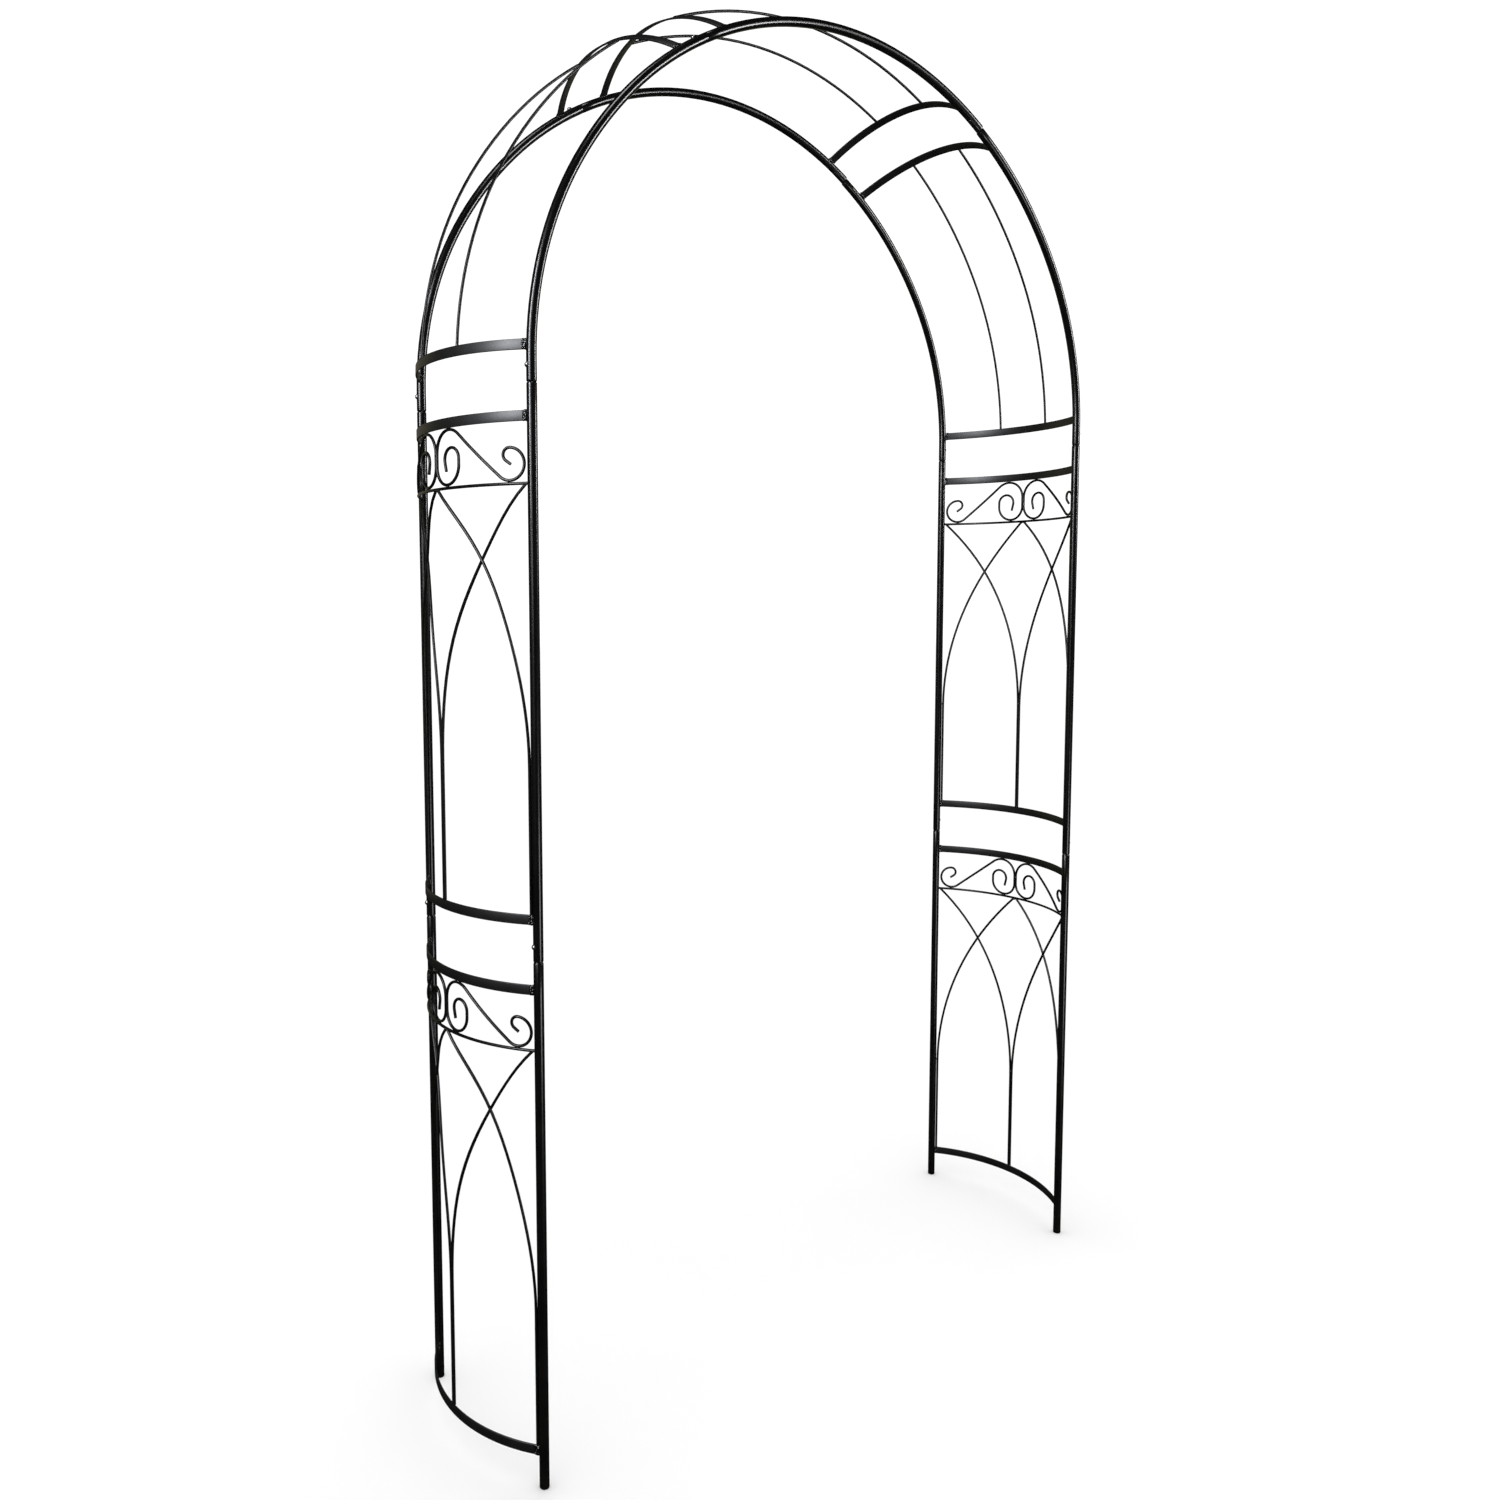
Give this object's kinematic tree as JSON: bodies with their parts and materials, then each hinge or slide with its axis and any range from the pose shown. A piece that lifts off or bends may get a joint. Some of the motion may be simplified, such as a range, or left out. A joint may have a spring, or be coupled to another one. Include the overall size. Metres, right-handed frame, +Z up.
{
  "type": "metal trellis garden arch",
  "caption": "Black metal garden arch: round-tube hoops joined by bowed bands, curved tracery rods and S-scrolls, plugged together at joints held by dome-head screws.",
  "frame": {"origin": "on the ground, midway between the four feet", "axes": "+Z up, +X across the walkway from the left legs to the right legs, +Y along the walkway from the front hoop to the rear hoop"},
  "size_m": [1.4847, 0.377, 2.4619],
  "materials": {
    "coat": "semi-gloss black powder coat over steel",
    "screw": "zinc-plated steel, satin"
  },
  "bodies": {
    "root": {"crown_front_rod": "coat", "crown_left_band": "coat", "crown_rear_rod": "coat", "crown_right_band": "coat", "front_crown": "coat", "front_left_crown_screw": "screw", "front_left_haunch": "coat", "front_left_lower_leg": "coat", "front_left_lower_screw": "screw", "front_left_upper_leg": "coat", "front_left_upper_screw": "screw", "front_right_crown_screw": "screw", "front_right_haunch": "coat", "front_right_lower_leg": "coat", "front_right_lower_screw": "screw", "front_right_upper_leg": "coat", "front_right_upper_screw": "screw", "left_haunch_foot_band": "coat", "left_haunch_front_rod": "coat", "left_haunch_head_band": "coat", "left_haunch_rear_rod": "coat", "left_lower_panel_bottom_band": "coat", "left_lower_panel_rail": "coat", "left_lower_panel_scrolls": "coat", "left_lower_panel_top_band": "coat", "left_lower_panel_tracery": "coat", "left_upper_panel_bottom_band": "coat", "left_upper_panel_rail": "coat", "left_upper_panel_scrolls": "coat", "left_upper_panel_top_band": "coat", "left_upper_panel_tracery": "coat", "rear_crown": "coat", "rear_left_crown_screw": "screw", "rear_left_haunch": "coat", "rear_left_lower_leg": "coat", "rear_left_lower_screw": "screw", "rear_left_upper_leg": "coat", "rear_left_upper_screw": "screw", "rear_right_crown_screw": "screw", "rear_right_haunch": "coat", "rear_right_lower_leg": "coat", "rear_right_lower_screw": "screw", "rear_right_upper_leg": "coat", "rear_right_upper_screw": "screw", "right_haunch_foot_band": "coat", "right_haunch_front_rod": "coat", "right_haunch_head_band": "coat", "right_haunch_rear_rod": "coat", "right_lower_panel_bottom_band": "coat", "right_lower_panel_rail": "coat", "right_lower_panel_scrolls": "coat", "right_lower_panel_top_band": "coat", "right_lower_panel_tracery": "coat", "right_upper_panel_bottom_band": "coat", "right_upper_panel_rail": "coat", "right_upper_panel_scrolls": "coat", "right_upper_panel_top_band": "coat", "right_upper_panel_tracery": "coat"}
  },
  "joints": []
}
